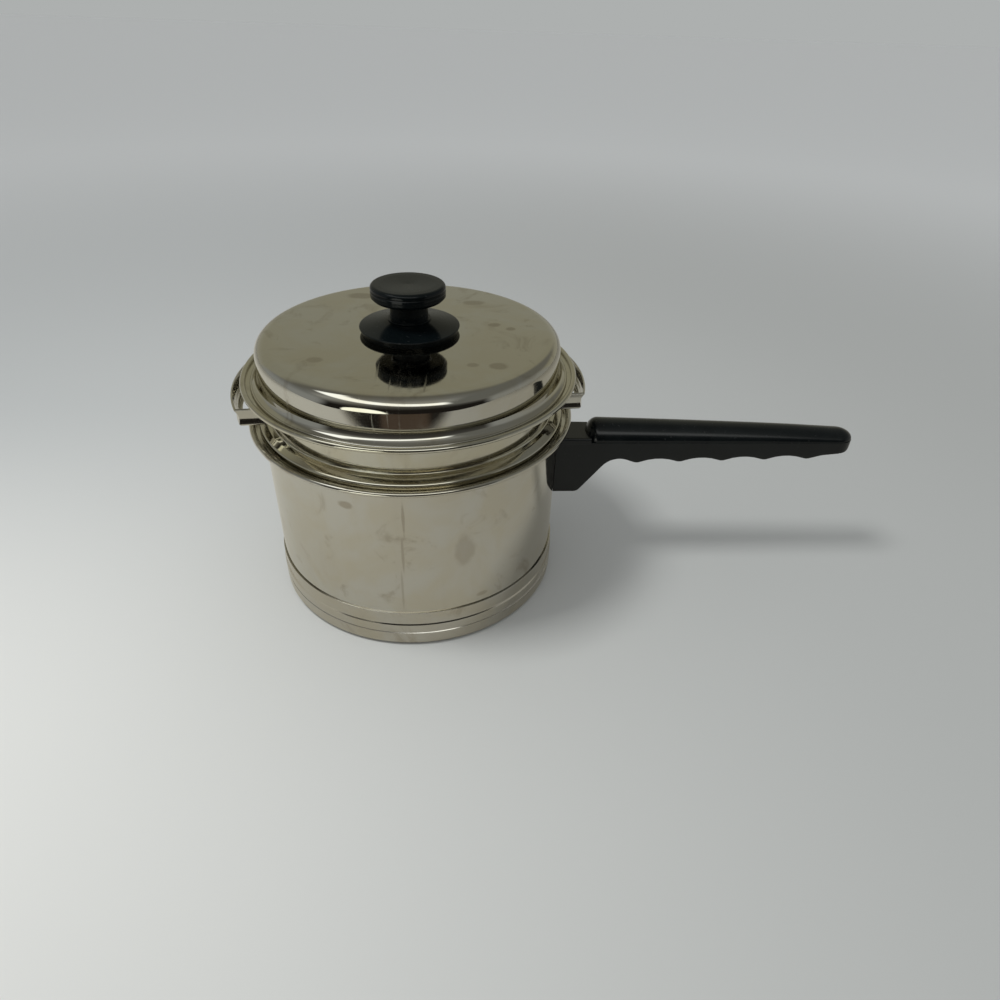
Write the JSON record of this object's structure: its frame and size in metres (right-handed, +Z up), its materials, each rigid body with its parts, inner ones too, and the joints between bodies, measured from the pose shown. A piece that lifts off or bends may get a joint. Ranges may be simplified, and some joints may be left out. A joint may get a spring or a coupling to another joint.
{
  "type": "double boiler",
  "caption": "Stovetop double boiler: clad-base pan with a side handle, an upper pot that hangs on its rim with strip ears, and a lid with a knob.",
  "frame": {"origin": "on the pan's axis, on the face that it stands on", "axes": "+Z up along the pan's axis, +X along the handle away from the pan"},
  "size_m": [0.3549, 0.18, 0.1755],
  "materials": {
    "polished_steel": "polished stainless, slightly worn",
    "plain_steel": "bright zinc",
    "core_aluminium": "plain",
    "bush_brass": "turned",
    "black_moulding": "moulded phenolic, glossy"
  },
  "bodies": {
    "pan": {"pan_shell": "polished_steel", "heat_core": "core_aluminium", "base_cap": "polished_steel", "handle_bracket": "plain_steel", "bracket_nut": "plain_steel", "handle_grip": "black_moulding", "handle_washer": "plain_steel", "handle_screw": "plain_steel"},
    "upper_pot": {"insert_shell": "polished_steel", "ear_left": "polished_steel", "ear_right": "polished_steel"},
    "lid": {"lid_shell": "polished_steel", "knob_skirt": "black_moulding", "knob_grip": "black_moulding", "knob_insert": "bush_brass", "knob_washer": "plain_steel", "knob_screw": "plain_steel"}
  },
  "joints": [
    {"name": "insert_lift", "type": "slide", "parent": "pan", "child": "upper_pot", "axis": [0, 0, 1], "range_m": [0, 0.12]},
    {"name": "lid_lift", "type": "slide", "parent": "upper_pot", "child": "lid", "axis": [0, 0, 1], "range_m": [0, 0.06]}
  ]
}
